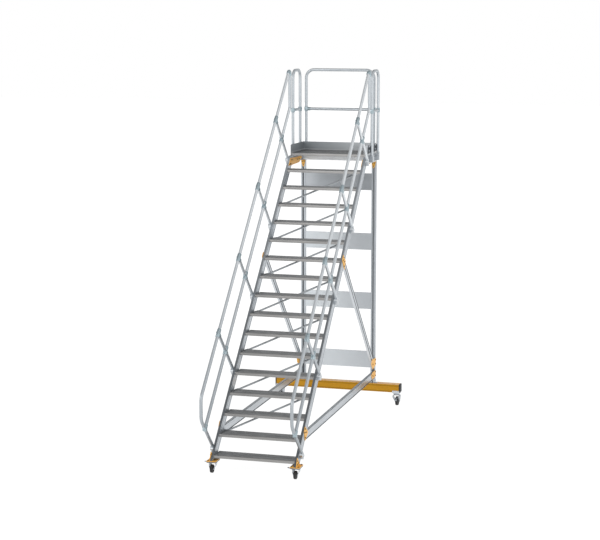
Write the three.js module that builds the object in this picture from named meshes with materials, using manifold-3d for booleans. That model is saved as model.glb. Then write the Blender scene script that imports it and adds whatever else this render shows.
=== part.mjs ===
// Rolling warehouse ladder: a 45 degree platform stair on four braked swivel casters.
// Millimetres, +Z up. X runs across the stair, +Y points the way a climber faces.
// Sizes are laid out in stair coordinates, where Y = 0 and Z = RISE at the front edge of
// the lowest tread. The finished group is moved so that its box is centred on X = Y = 0.

import * as THREE from 'three';
import { mergeVertices } from 'three/addons/utils/BufferGeometryUtils.js';
import Module from 'manifold-3d';

const wasm = await Module();
wasm.setup();

// ---------------------------------------------------------------- driving dimensions
const GAP = 0.3; // clearance between pieces that touch

const RISE = 208; // one step up, and one step forward on the 45 degree stair
const TREADS = 16;
const CLEAR_WIDTH = 1000;
const PLATFORM_Z = RISE * (TREADS + 1);
const PLATFORM_Y = RISE * TREADS; // front edge of the platform

const TREAD_DEPTH = 225;
const TREAD_LIP = 33;
const SHEET = 3.5; // wall of the tread and deck extrusions
const DECK_HALF_WIDTH = 512;
const DECK_BACK_Y = 3950;

const STILE_WIDTH = 30;
const STILE_DEPTH = 120; // measured square to the slope
const STILE_IN = CLEAR_WIDTH / 2 + GAP;
const STILE_OUT = STILE_IN + STILE_WIDTH;

const TUBE_R = 20;
const RAIL_X = STILE_OUT + GAP + TUBE_R; // plane of the handrails and side guards
const RAIL_HEIGHT = 740; // upper rail above the nosing line, square to the slope
const KNEE_HEIGHT = 365;
const RAIL_FRONT_Y = -290; // upright stretch at the foot of the upper rail
const RAIL_END_Y = 3410; // upright stretch beside the platform
const LOOP_LEG = 140; // lower leg of the handrail's front loop, along the slope
const POST_FIRST = 1246;
const POST_PITCH = 1131;
const POSTS = 4;
const POST_FOOT = -35; // lower ends of the posts, square to the slope
const CLAMP_R = 26;
const CLAMP_HALF = 58;
const SOCKET_ALONG = [-52, 12]; // socket blocks on the stile's side, along the slope from their post
const SOCKET_ACROSS = [-102, -8]; // and square to the slope

const GUARD_TOP = PLATFORM_Z + 1094; // centre of the guards' top tubes
const GUARD_KNEE = PLATFORM_Z + 560;
const GUARD_FOOT = PLATFORM_Z - 106;
const GUARD_BEND = 110;
const SIDE_GUARD_Y = [3567, 3920];
const BACK_GUARD_X = 479;

const FRAME_BOTTOM = 3400; // platform side members and rear cross beam
const FRAME_TOP = PLATFORM_Z - TREAD_LIP - GAP;
const TOE_TOP = PLATFORM_Z + 112;
const TOE_SHEET = 3;

const REAR_POST = 60; // square section
const REAR_POST_Y = 3930; // centre line of the rear posts, the beam and the rear casters
const BEAM_HALF_LENGTH = 900;
const BEAM_BOTTOM = 200;
const BEAM_HEIGHT = 112;
const BEAM_DEPTH = 120;

const PANEL_HEIGHT = 230;
const PANEL_PITCH = 825;
const PANEL_TOP_1 = 3231;
const PANELS = 4;

const STRUT_BOTTOM = 377;
const STRUT_TOP = 480;
const BRACE_SUM = 4437; // Y + Z along the centre line of the upper braces
const BRACE_DEPTH = 78;
const ROD_R = 12;
const ROD_LUG_HALF = 14;
const ROD_HALF_LENGTH = 478;
const RODS = 7;

const FOOT_TOP = 150; // upper face of the foot plates under the stiles
const FRONT_CASTER = { // wheel towards the climber, lever to the left of the crown
  x: 515, y: 25, trail: -38, wheelR: 50, wheelW: 32, crown: 118, crownR: 38, top: 142,
  pedal: { turn: Math.PI / 2, hinge: 42.3, z: 122, half: 17, barrel: 17, reach: 64, drop: 4 },
};
const REAR_CASTER = { // wheel trailing backwards, pedal between the front edges of the fork's legs
  x: 840, y: REAR_POST_Y, trail: 45, wheelR: 62.5, wheelW: 36, crown: 156, crownR: 42, top: 190,
  pedal: { turn: Math.PI, hinge: 24, z: 118, half: 19, barrel: 20.7, reach: 60, drop: 30 },
};
const AXLE_R = 6;
const CROWN_THICKNESS = 10;
const FORK_WALL = 4;

// ---------------------------------------------------------------- materials
const metal = (color, roughness) =>
  new THREE.MeshStandardMaterial({ color, roughness, metalness: 0.9 });
const ALUMINIUM = metal(0xc8cdd2, 0.35);
const RIBBED = metal(0x6f7173, 0.5);
const SHEET_METAL = metal(0xc0c5c9, 0.45);
const TOE_METAL = metal(0x85898d, 0.5);
const GALVANISED = metal(0xcdd4dc, 0.4);
const YELLOW = new THREE.MeshStandardMaterial({ color: 0xc98c2a, roughness: 0.5, metalness: 0.1 });
const ORANGE = new THREE.MeshStandardMaterial({ color: 0xe0a24a, roughness: 0.5, metalness: 0.1 });
const RUBBER = new THREE.MeshStandardMaterial({ color: 0x141414, roughness: 0.8, metalness: 0 });

// ---------------------------------------------------------------- helpers
const group = new THREE.Group();

function add(name, geometry, material) {
  const mesh = new THREE.Mesh(geometry, material);
  mesh.name = name;
  group.add(mesh);
}

const X = new THREE.Vector3(1, 0, 0);
const Y = new THREE.Vector3(0, 1, 0);
const Z = new THREE.Vector3(0, 0, 1);
const ALONG_X = new THREE.Matrix4().makeBasis(Y, Z, X); // outline in (y, z), pushed along +X

function prism(points, from, to, placing) {
  const shape = new THREE.Shape(points.map(([a, b]) => new THREE.Vector2(a, b)));
  const geometry = new THREE.ExtrudeGeometry(shape, { depth: to - from, bevelEnabled: false });
  geometry.translate(0, 0, from);
  return placing ? geometry.applyMatrix4(placing) : geometry;
}

const prismX = (points, from, to) => prism(points, from, to, ALONG_X);
const prismZ = (points, from, to) => prism(points, from, to);

function box([x0, x1], [y0, y1], [z0, z1]) {
  const geometry = new THREE.BoxGeometry(x1 - x0, y1 - y0, z1 - z0);
  return geometry.translate((x0 + x1) / 2, (y0 + y1) / 2, (z0 + z1) / 2);
}

function cylinder(radius, from, to, sides = 24) {
  const axis = new THREE.Vector3().subVectors(to, from);
  const geometry = new THREE.CylinderGeometry(radius, radius, axis.length(), sides);
  geometry.applyQuaternion(new THREE.Quaternion().setFromUnitVectors(Y, axis.clone().normalize()));
  return geometry.translate(...from.clone().addScaledVector(axis, 0.5).toArray());
}

function solid(geometry) {
  const bare = geometry.index ? geometry.toNonIndexed() : geometry.clone();
  bare.deleteAttribute('normal');
  bare.deleteAttribute('uv');
  const merged = mergeVertices(bare);
  return new wasm.Manifold(new wasm.Mesh({
    numProp: 3,
    vertProperties: new Float32Array(merged.attributes.position.array),
    triVerts: new Uint32Array(merged.index.array),
  }));
}

function geometryOf(manifold) {
  const mesh = manifold.getMesh();
  const geometry = new THREE.BufferGeometry();
  geometry.setAttribute('position', new THREE.BufferAttribute(mesh.vertProperties, 3));
  geometry.setIndex(new THREE.BufferAttribute(mesh.triVerts, 1));
  return geometry;
}

const join = (...pieces) => geometryOf(pieces.map(solid).reduce((whole, piece) => whole.add(piece)));

// A path of straight runs and round bends that is sampled only where it bends.
class BentPath extends THREE.Curve {
  constructor(corners, bendRadius, bendSteps) {
    super();
    this.stations = [];
    const last = corners.length - 1;
    corners.forEach((corner, i) => {
      if (i === 0 || i === last) {
        const [a, b] = i === 0 ? [corners[0], corners[1]] : [corners[last - 1], corners[last]];
        this.stations.push({ point: corner, tangent: new THREE.Vector3().subVectors(b, a).normalize() });
        return;
      }
      const incoming = new THREE.Vector3().subVectors(corner, corners[i - 1]).normalize();
      const outgoing = new THREE.Vector3().subVectors(corners[i + 1], corner).normalize();
      const turn = incoming.angleTo(outgoing);
      const radius = Array.isArray(bendRadius) ? bendRadius[i - 1] : bendRadius;
      const start = corner.clone().addScaledVector(incoming, -radius * Math.tan(turn / 2));
      const inward = outgoing.clone().addScaledVector(incoming, -Math.cos(turn)).normalize();
      for (let k = 0; k <= bendSteps; k += 1) {
        const angle = (turn * k) / bendSteps;
        this.stations.push({
          point: start.clone()
            .addScaledVector(incoming, radius * Math.sin(angle))
            .addScaledVector(inward, radius * (1 - Math.cos(angle))),
          tangent: incoming.clone().multiplyScalar(Math.cos(angle)).addScaledVector(inward, Math.sin(angle)),
        });
      }
    });
  }

  station(u) {
    return this.stations[Math.round(u * (this.stations.length - 1))];
  }

  getPointAt(u) {
    return this.station(u).point.clone();
  }

  getTangentAt(u) {
    return this.station(u).tangent.clone();
  }
}

function tube(corners, bendRadius = 0, radius = TUBE_R, sides = 12, bendSteps = 4) {
  const path = new BentPath(corners, bendRadius, bendSteps);
  const shape = new THREE.Shape();
  shape.absarc(0, 0, radius, 0, 2 * Math.PI);
  return new THREE.ExtrudeGeometry(shape, {
    steps: path.stations.length - 1, curveSegments: sides / 2, extrudePath: path,
  });
}

// A point of the stair: s along the slope from the lowest nosing, n square to it and upwards.
const DIAGONAL = Math.SQRT1_2;
const onSlope = (x, s, n) => new THREE.Vector3(x, (s - n) * DIAGONAL, RISE + (s + n) * DIAGONAL);
const slopeBox = (x, [s0, s1], [n0, n1]) => prismX(
  [[s0, n0], [s1, n0], [s1, n1], [s0, n1]].map(([s, n]) => {
    const point = onSlope(0, s, n);
    return [point.y, point.z];
  }), ...x);

const SIDES = [['left', -1], ['right', 1]];
const span = (side, inner, outer) => (side > 0 ? [inner, outer] : [-outer, -inner]);

// ---------------------------------------------------------------- stair
// Y of the stile's faces at a given height
const stileFrontY = (z) => z - RISE;
const stileRearY = (z) => z - RISE + STILE_DEPTH * Math.SQRT2;

function stringer(side) {
  const bottom = FOOT_TOP + GAP;
  const top = FRAME_TOP;
  const outline = [
    [stileFrontY(bottom), bottom], [stileRearY(bottom), bottom],
    [stileRearY(top), top], [stileFrontY(top), top],
  ];
  return prismX(outline, ...span(side, STILE_IN, STILE_OUT));
}

// Section of a tread or deck: a ribless tray, open below, with lips and inner webs.
function traySection(y0, y1, top, lip, webs) {
  const points = [[y0, top - lip], [y0 + SHEET, top - lip], [y0 + SHEET, top - SHEET]];
  for (const y of webs) {
    points.push([y, top - SHEET], [y, top - lip], [y + SHEET, top - lip], [y + SHEET, top - SHEET]);
  }
  points.push([y1 - SHEET, top - SHEET], [y1 - SHEET, top - lip], [y1, top - lip], [y1, top], [y0, top]);
  return points;
}

function tread(number) {
  const y = RISE * (number - 1);
  const webs = [y + TREAD_DEPTH / 2];
  return prismX(traySection(y, y + TREAD_DEPTH, RISE * number, TREAD_LIP, webs),
    -CLEAR_WIDTH / 2, CLEAR_WIDTH / 2);
}

// Each rod ties the rear lip of one tread, on the left, to the tread two above it, on the right.
// It passes just behind the lower edge of the tread between them.
function crossRod(number) {
  const drop = TREAD_LIP / 2;
  const back = TREAD_DEPTH + TREAD_LIP - drop + (ROD_R + 1) * Math.SQRT2;
  const end = (x, stepsUp) => new THREE.Vector3(x, RISE * (stepsUp - 1) + back, RISE * stepsUp - drop);
  const left = end(-ROD_HALF_LENGTH, 2 * number);
  const right = end(ROD_HALF_LENGTH, 2 * number + 2);
  const lug = ({ x, y, z }) => box(
    [x - ROD_LUG_HALF, x + ROD_LUG_HALF],
    [y - back + TREAD_DEPTH + GAP, y + ROD_R + 2],
    [z - ROD_LUG_HALF, z + ROD_LUG_HALF]);
  return join(cylinder(ROD_R, left, right, 10), lug(left), lug(right));
}

function handrail(side) {
  const x = side * RAIL_X;
  const rail = (y, n) => new THREE.Vector3(x, y, y + RISE + n * Math.SQRT2);
  const frontCorner = new THREE.Vector3(x, RAIL_FRONT_Y, RISE + LOOP_LEG * Math.SQRT2 - RAIL_FRONT_Y);
  const loop = tube([
    onSlope(x, LOOP_LEG, KNEE_HEIGHT), rail(RAIL_END_Y, KNEE_HEIGHT), rail(RAIL_END_Y, RAIL_HEIGHT),
    rail(RAIL_FRONT_Y, RAIL_HEIGHT), frontCorner, onSlope(x, LOOP_LEG, POST_FOOT),
  ], [45, 30, 150, 150]);
  const posts = Array.from({ length: POSTS }, (_, i) => POST_FIRST + i * POST_PITCH);
  const clamp = (s, n) => cylinder(CLAMP_R, onSlope(x, s - CLAMP_HALF, n), onSlope(x, s + CLAMP_HALF, n), 8);
  const block = (s) => slopeBox(span(side, STILE_OUT + GAP, STILE_OUT + 2 * TUBE_R + 2),
    SOCKET_ALONG.map((offset) => s + offset), SOCKET_ACROSS);
  return join(
    loop,
    ...posts.map((s) => tube([onSlope(x, s, POST_FOOT), onSlope(x, s, RAIL_HEIGHT)])),
    ...posts.map((s) => clamp(s, RAIL_HEIGHT)),
    ...[LOOP_LEG, ...posts].flatMap((s) => [clamp(s, KNEE_HEIGHT), block(s)]),
  );
}

// ---------------------------------------------------------------- platform
function platformDeck() {
  const webs = [1, 2, 3, 4, 5].map((k) => PLATFORM_Y + (k * (DECK_BACK_Y - PLATFORM_Y)) / 6);
  return prismX(traySection(PLATFORM_Y, DECK_BACK_Y, PLATFORM_Z, TREAD_LIP, webs),
    -DECK_HALF_WIDTH, DECK_HALF_WIDTH);
}

function platformFrame() {
  const back = REAR_POST_Y + REAR_POST / 2;
  const members = SIDES.map(([, side]) => prismX([
    [stileRearY(FRAME_BOTTOM) + GAP, FRAME_BOTTOM], [back, FRAME_BOTTOM],
    [back, FRAME_TOP], [stileRearY(FRAME_TOP) + GAP, FRAME_TOP],
  ], ...span(side, STILE_IN, STILE_OUT)));
  const crossBeam = box([-STILE_IN - 1, STILE_IN + 1], [REAR_POST_Y - REAR_POST / 2, back],
    [FRAME_BOTTOM, FRAME_TOP]);
  return join(...members, crossBeam);
}

// Left, back and right toe boards, folded from one strip that stands round the deck.
function toeBoards() {
  const inside = DECK_HALF_WIDTH + GAP;
  const outside = inside + TOE_SHEET;
  const outline = [
    [-outside, PLATFORM_Y], [-inside, PLATFORM_Y], [-inside, DECK_BACK_Y + GAP],
    [inside, DECK_BACK_Y + GAP], [inside, PLATFORM_Y], [outside, PLATFORM_Y],
    [outside, DECK_BACK_Y + GAP + TOE_SHEET], [-outside, DECK_BACK_Y + GAP + TOE_SHEET],
  ];
  return prismZ(outline, FRAME_TOP + GAP, TOE_TOP);
}

// A guard: a hoop on two legs, with a knee rail and its tee clamps.
function guard(a, b) {
  const at = (foot, z) => new THREE.Vector3(foot.x, foot.y, z);
  const hoop = tube([at(a, GUARD_FOOT), at(a, GUARD_TOP), at(b, GUARD_TOP), at(b, GUARD_FOOT)], GUARD_BEND);
  const knee = tube([at(a, GUARD_KNEE), at(b, GUARD_KNEE)]);
  const clamps = [a, b].map((foot) => cylinder(26, at(foot, GUARD_KNEE - 30), at(foot, GUARD_KNEE + 30), 12));
  return join(hoop, knee, ...clamps);
}

function sideGuard(side) {
  return guard(...SIDE_GUARD_Y.map((y) => new THREE.Vector3(side * RAIL_X, y, 0)));
}

function backGuard() {
  const y = REAR_POST_Y + REAR_POST / 2 + GAP + TUBE_R;
  return guard(new THREE.Vector3(-BACK_GUARD_X, y, 0), new THREE.Vector3(BACK_GUARD_X, y, 0));
}

// ---------------------------------------------------------------- rear support
const rearPostX = (side) => span(side, STILE_OUT - REAR_POST, STILE_OUT);

function rearPost(side) {
  const [x0, x1] = rearPostX(side);
  const [y0, y1] = [REAR_POST_Y - REAR_POST / 2, REAR_POST_Y + REAR_POST / 2];
  const groove = 5;
  const edge = REAR_POST * 0.3;
  const outline = [
    [x0, y0], [x0 + edge, y0], [x0 + edge, y0 + groove], [x1 - edge, y0 + groove], [x1 - edge, y0],
    [x1, y0], [x1, y1], [x1 - edge, y1], [x1 - edge, y1 - groove], [x0 + edge, y1 - groove],
    [x0 + edge, y1], [x0, y1],
  ];
  return prismZ(outline, BEAM_BOTTOM + BEAM_HEIGHT + GAP, FRAME_BOTTOM - GAP);
}

// A sheet panel between the rear posts, with its long edges folded back.
function bracingPanel(number) {
  const top = PANEL_TOP_1 - (number - 1) * PANEL_PITCH;
  const bottom = top - PANEL_HEIGHT;
  const front = REAR_POST_Y - REAR_POST / 2 + 6;
  const wall = 3;
  const fold = 18;
  const outline = [
    [front, bottom], [front + fold, bottom], [front + fold, bottom + wall], [front + wall, bottom + wall],
    [front + wall, top - wall], [front + fold, top - wall], [front + fold, top], [front, top],
  ];
  const half = STILE_OUT - REAR_POST - GAP;
  return prismX(outline, -half, half);
}

function lowerStrut(side) {
  const back = REAR_POST_Y - REAR_POST / 2 - GAP;
  const outline = [
    [stileRearY(STRUT_BOTTOM) + GAP, STRUT_BOTTOM], [back, STRUT_BOTTOM],
    [back, STRUT_TOP], [stileRearY(STRUT_TOP) + GAP, STRUT_TOP],
  ];
  return prismX(outline, ...span(side, STILE_IN, STILE_OUT));
}

// The upper brace leaves the stile squarely and is cut upright where it meets the rear post.
function upperBrace(side) {
  const back = REAR_POST_Y - REAR_POST / 2 - GAP;
  const half = BRACE_DEPTH * DIAGONAL; // half the depth, measured along Z
  const rise = STILE_DEPTH * Math.SQRT2 - RISE + GAP * Math.SQRT2; // Y - Z on the stile's rear face
  const start = (sum) => [(sum + rise) / 2, (sum - rise) / 2];
  const outline = [
    start(BRACE_SUM - half), [back, BRACE_SUM - half - back],
    [back, BRACE_SUM + half - back], start(BRACE_SUM + half),
  ];
  return prismX(outline, ...span(side, STILE_IN, STILE_OUT));
}

function traverseBeam() {
  const [y0, y1] = [REAR_POST_Y - BEAM_DEPTH / 2, REAR_POST_Y + BEAM_DEPTH / 2];
  const [z0, z1] = [BEAM_BOTTOM, BEAM_BOTTOM + BEAM_HEIGHT];
  const corner = 6;
  const outline = [
    [y0 + corner, z0], [y1 - corner, z0], [y1, z0 + corner], [y1, z1 - corner],
    [y1 - corner, z1], [y0 + corner, z1], [y0, z1 - corner], [y0, z0 + corner],
  ];
  return prismX(outline, -BEAM_HALF_LENGTH, BEAM_HALF_LENGTH);
}

// ---------------------------------------------------------------- casters and their seats
const headTop = (caster) => caster.crown + CROWN_THICKNESS + 0.5;

// Raceway housing and top plate of a caster, which stay still while the fork swivels.
function casterHead(caster, x) {
  const { y, top, crownR } = caster;
  const plate = 5;
  return [
    cylinder(crownR - 3, new THREE.Vector3(x, y, headTop(caster)), new THREE.Vector3(x, y, top - plate / 2)),
    box([x - 52, x + 52], [y - 43, y + 43], [top - plate, top + 0.5]),
  ];
}

function footBracket(side) {
  const x = side * FRONT_CASTER.x;
  const plate = box([x - 60, x + 60], [stileFrontY(FOOT_TOP) - 2, stileRearY(FOOT_TOP) + 2],
    [FRONT_CASTER.top, FOOT_TOP]);
  const base = FOOT_TOP - 4;
  const gusset = prismX([[stileFrontY(FOOT_TOP), base], [stileRearY(FOOT_TOP), base], [0, FOOT_TOP + 105]],
    ...span(side, STILE_OUT + GAP, STILE_OUT + GAP + 6));
  return join(plate, gusset, ...casterHead(FRONT_CASTER, x));
}

// A cradle that holds the beam from below, with a lip up its front and back.
function beamSaddle(side) {
  const x = side * REAR_CASTER.x;
  const wall = 4;
  const [y0, y1] = [REAR_POST_Y - BEAM_DEPTH / 2 - GAP, REAR_POST_Y + BEAM_DEPTH / 2 + GAP];
  const [floor, lip] = [BEAM_BOTTOM - GAP, BEAM_BOTTOM + 26];
  const outline = [
    [y0 - wall, REAR_CASTER.top], [y1 + wall, REAR_CASTER.top], [y1 + wall, lip], [y1, lip],
    [y1, floor], [y0, floor], [y0, lip], [y0 - wall, lip],
  ];
  return join(prismX(outline, x - 50, x + 50), ...casterHead(REAR_CASTER, x));
}

function casterFork(caster, x) {
  const { y, trail, wheelR, wheelW, crown, crownR } = caster;
  const axleY = y + trail;
  const crownTop = crown + CROWN_THICKNESS;
  const inner = wheelW / 2 + 3;
  const tip = 15;
  const shoulder = crownR * 0.75;
  const lead = -Math.sign(trail); // the side away from the wheel, which is cut lower
  const outline = [
    [y + lead * shoulder, crown + 2], [y + lead * shoulder, wheelR + 44],
    [axleY + lead * tip, wheelR - 4], [axleY + lead * tip * 0.6, wheelR - tip],
    [axleY - lead * tip * 0.6, wheelR - tip], [axleY - lead * tip, wheelR - 4],
    [y - lead * shoulder, crown - 12], [y - lead * shoulder, crown + 2],
  ];
  const legs = SIDES.map(([, side]) => {
    const [from, to] = span(side, inner, inner + FORK_WALL);
    return prismX(outline, x + from, x + to);
  });
  const crownDisc = cylinder(crownR, new THREE.Vector3(x, y, crown), new THREE.Vector3(x, y, crownTop));
  const reach = inner + FORK_WALL + 5;
  const axle = cylinder(AXLE_R, new THREE.Vector3(x - reach, axleY, wheelR),
    new THREE.Vector3(x + reach, axleY, wheelR), 16);
  return join(crownDisc, ...legs, axle);
}

function casterWheel(caster, x) {
  const { y, trail, wheelR, wheelW } = caster;
  const half = wheelW / 2;
  const bore = AXLE_R + GAP;
  const hub = half + 2;
  const rim = wheelR * 0.66;
  const crown = 5;
  const section = [
    [bore, -hub], [bore + 9, -hub], [bore + 9, -half + 4], [rim, -half + 4], [rim, -half],
    [wheelR - crown, -half], [wheelR, -half + crown], [wheelR, half - crown],
    [wheelR - crown, half], [rim, half], [rim, half - 4], [bore + 9, half - 4], [bore + 9, hub],
    [bore, hub], [bore, -hub],
  ].map(([r, t]) => new THREE.Vector2(r, t));
  const geometry = new THREE.LatheGeometry(section, 24);
  geometry.rotateZ(-Math.PI / 2);
  return geometry.translate(x, y + trail, wheelR);
}

// A foot lever on a hinge barrel. It points along +Y here and is turned into place.
function brakePedal(caster, x) {
  const { turn, hinge, z, half, barrel, reach, drop } = caster.pedal;
  const radius = 4;
  const wall = 4;
  const bend = 0.75; // share of the reach where the lever turns up into its tip
  const outline = [
    [hinge, z - wall / 2], [hinge + reach * bend, z - drop - wall / 2], [hinge + reach, z - drop + 3],
    [hinge + reach, z - drop + 3 + wall], [hinge + reach * bend, z - drop + wall / 2], [hinge, z + wall / 2],
  ];
  const axis = (side) => new THREE.Vector3(side * barrel, hinge, z);
  const pedal = join(prismX(outline, -half, half), cylinder(radius, axis(-1), axis(1), 12));
  return pedal.rotateZ(turn).translate(x, caster.y, 0);
}

// ---------------------------------------------------------------- assembly
for (const [name, side] of SIDES) {
  add(`stringer_${name}`, stringer(side), ALUMINIUM);
  add(`handrail_${name}`, handrail(side), ALUMINIUM);
  add(`guard_${name}`, sideGuard(side), ALUMINIUM);
  add(`rear_post_${name}`, rearPost(side), ALUMINIUM);
  add(`upper_brace_${name}`, upperBrace(side), ALUMINIUM);
  add(`lower_strut_${name}`, lowerStrut(side), ALUMINIUM);
  add(`foot_bracket_${name}`, footBracket(side), ORANGE);
  add(`beam_saddle_${name}`, beamSaddle(side), GALVANISED);
}
for (let i = 1; i <= TREADS; i += 1) {
  add(`tread_${String(i).padStart(2, '0')}`, tread(i), RIBBED);
}
for (let i = 1; i <= RODS; i += 1) {
  add(`cross_rod_${i}`, crossRod(i), ALUMINIUM);
}
for (let i = 1; i <= PANELS; i += 1) {
  add(`bracing_panel_${i}`, bracingPanel(i), SHEET_METAL);
}
add('guard_back', backGuard(), ALUMINIUM);
add('platform_deck', platformDeck(), RIBBED);
add('platform_frame', platformFrame(), ALUMINIUM);
add('toe_boards', toeBoards(), TOE_METAL);
add('traverse_beam', traverseBeam(), YELLOW);

for (const [row, caster] of [['front', FRONT_CASTER], ['rear', REAR_CASTER]]) {
  for (const [name, side] of SIDES) {
    const x = side * caster.x;
    add(`caster_fork_${row}_${name}`, casterFork(caster, x), GALVANISED);
    add(`caster_wheel_${row}_${name}`, casterWheel(caster, x), RUBBER);
    add(`brake_pedal_${row}_${name}`, brakePedal(caster, x), GALVANISED);
  }
}

const bounds = new THREE.Box3().setFromObject(group);
group.position.y = -(bounds.min.y + bounds.max.y) / 2;

export default group;
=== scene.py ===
# Looks of the rolling warehouse ladder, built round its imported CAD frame. Metres, +Z up.
import math

import bmesh
import bpy
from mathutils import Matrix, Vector


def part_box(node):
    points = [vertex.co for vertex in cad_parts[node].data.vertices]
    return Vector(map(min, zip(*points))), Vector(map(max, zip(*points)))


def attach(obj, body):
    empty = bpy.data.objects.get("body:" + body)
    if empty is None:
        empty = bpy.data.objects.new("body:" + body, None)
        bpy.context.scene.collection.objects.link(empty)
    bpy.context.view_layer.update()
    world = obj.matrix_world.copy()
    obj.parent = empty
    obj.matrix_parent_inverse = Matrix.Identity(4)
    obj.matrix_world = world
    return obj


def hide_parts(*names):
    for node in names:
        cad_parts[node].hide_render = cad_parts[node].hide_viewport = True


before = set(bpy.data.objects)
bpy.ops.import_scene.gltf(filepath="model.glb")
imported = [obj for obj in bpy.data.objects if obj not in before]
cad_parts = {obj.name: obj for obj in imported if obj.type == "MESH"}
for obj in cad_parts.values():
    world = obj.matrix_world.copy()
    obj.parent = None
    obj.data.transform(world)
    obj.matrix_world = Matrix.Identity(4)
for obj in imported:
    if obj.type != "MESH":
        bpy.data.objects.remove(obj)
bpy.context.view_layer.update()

# ---------------------------------------------------------------- driving dimensions
SIDES = (("left", -1), ("right", 1))
LADDER = "ladder"
DIAGONAL = math.sqrt(0.5)
GAP = 0.0003
STEP = 0.0005  # keeps overlapping faces of joined parts out of one plane

RISE = 0.208
TREADS = 16
RODS = 7
PANELS = 4
FRONT_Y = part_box("tread_01")[0].y  # row Y of the lowest nosing, stair Y = 0
PLATFORM_Y = RISE * TREADS
PLATFORM_Z = RISE * (TREADS + 1)
TREAD_DEPTH = 0.225
TREAD_LIP = 0.033
SHEET = 0.0035
TREAD_HALF = 0.5
DECK_HALF = 0.512
DECK_BACK = 3.95

STILE_IN = 0.5003
STILE_OUT = 0.5303
STILE_WIDTH = STILE_OUT - STILE_IN
STILE_X = (STILE_IN + STILE_OUT) / 2
STILE_DEPTH = 0.120
ROD_R = 0.012
ROD_LUG_HALF = 0.014
ROD_HALF_LENGTH = 0.478
TUBE_R = 0.020
RAIL_X = 0.5506
RAIL_HEIGHT = 0.740
KNEE_HEIGHT = 0.365
RAIL_FRONT_Y = -0.290
RAIL_END_Y = 3.410
LOOP_LEG = 0.140
POST_FIRST = 1.246
POST_PITCH = 1.131
POSTS = 4
POST_FOOT = -0.035
CLAMP_R = 0.0255
CLAMP_HALF = 0.058
SOCKET_ALONG = (-0.052, 0.012)
SOCKET_ACROSS = (-0.102, -0.008)

GUARD_TOP = 4.630
GUARD_KNEE = 4.096
GUARD_FOOT = 3.430
GUARD_BEND = 0.110
SIDE_GUARD_Y = (3.567, 3.920)
BACK_GUARD_X = 0.479
BACK_GUARD_Y = 3.9803

FRAME_BOTTOM = 3.400
FRAME_TOP = 3.5027
REAR_POST = 0.060
REAR_POST_Y = 3.930
REAR_FACE = REAR_POST_Y - REAR_POST / 2
BEAM_HALF = 0.900
BEAM_BOTTOM = 0.200
BEAM_TOP = 0.312
BEAM_DEPTH = 0.120
BEAM_CAP = 0.018
STRUT_BOTTOM = 0.377
STRUT_TOP = 0.480
BRACE_DEPTH = 0.078
BRACE_SUM = 4.437  # stair Y plus Z along the middle of a brace
PLATE = 0.005
ANGLE_TOP = 0.372
FOOT_TOP = 0.150
FOOT_HALF = 0.060
SADDLE_HALF = 0.050

# top is the underside of what a caster hangs from, crown that of its fork's crown. flare and spread
# are the outer half widths of the fork at its shoulders and at the axle.
FRONT_CASTER = {
    "x": 0.515, "y": 0.025, "trail": -0.038, "wheel_r": 0.050, "wheel_w": 0.032,
    "crown": 0.118, "crown_r": 0.038, "flare": 0.042, "spread": 0.024, "top": 0.142, "hub_r": 0.013,
}
REAR_CASTER = {
    "x": 0.840, "y": REAR_POST_Y, "trail": 0.045, "wheel_r": 0.0625, "wheel_w": 0.036,
    "crown": 0.156, "crown_r": 0.042, "flare": 0.050, "spread": 0.033, "top": 0.190, "hub_r": 0.015,
}
CROWN_THICKNESS = 0.010
FORK_WALL = 0.004
AXLE_R = 0.006

SMOOTH_ANGLE = math.radians(32)
ROUND_SIDES = 32
X = Vector((1, 0, 0))
Y = Vector((0, 1, 0))
Z = Vector((0, 0, 1))
UP_SLOPE = Vector((0, DIAGONAL, DIAGONAL))
OFF_SLOPE = Vector((0, -DIAGONAL, DIAGONAL))


# ---------------------------------------------------------------- places
def at(x, y, z):
    """A point given in stair coordinates."""
    return Vector((x, y + FRONT_Y, z))


def on_slope(x, s, n):
    """A point s along the slope from the lowest nosing and n square to it, upwards."""
    return at(x, (s - n) * DIAGONAL, RISE + (s + n) * DIAGONAL)


def stile_rear_y(z):
    """Stair Y of the stringers' rear edge at a height."""
    return z - RISE + STILE_DEPTH * math.sqrt(2)


def span(side, inner, outer):
    """An interval of |x| on one side of the ladder, from low to high."""
    return (inner, outer) if side > 0 else (-outer, -inner)


# ---------------------------------------------------------------- mesh building
def circle(centre, axis, radius, sides=ROUND_SIDES, across=None):
    """A ring of points round an axis. across is a direction square to the axis to start from."""
    axis = axis.normalized()
    if across is None:
        across = axis.orthogonal().normalized()
    other = axis.cross(across)
    turns = (2 * math.pi * k / sides for k in range(sides))
    return [centre + radius * (math.cos(t) * across + math.sin(t) * other) for t in turns]


def rounded(points, radius):
    """A flat outline with its corners rounded. Corners that are too tight get a smaller radius."""
    steps = 4
    out = []
    count = len(points)
    for i, corner in enumerate(points):
        corner = Vector(corner)
        back = Vector(points[i - 1]) - corner
        ahead = Vector(points[(i + 1) % count]) - corner
        half = back.angle(ahead) / 2
        cut = min(radius / math.tan(half), back.length * 0.45, ahead.length * 0.45)
        start = corner + back.normalized() * cut
        end = corner + ahead.normalized() * cut
        for k in range(steps + 1):
            t = k / steps
            out.append(start * (1 - t) ** 2 + corner * 2 * t * (1 - t) + end * t ** 2)
    return [tuple(p) for p in out]


def rectangle(left, right, low, high, corner=0.0):
    """The outline of a rectangle, anticlockwise from its low left corner."""
    outline = [(left, low), (right, low), (right, high), (left, high)]
    return rounded(outline, corner) if corner else outline


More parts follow.
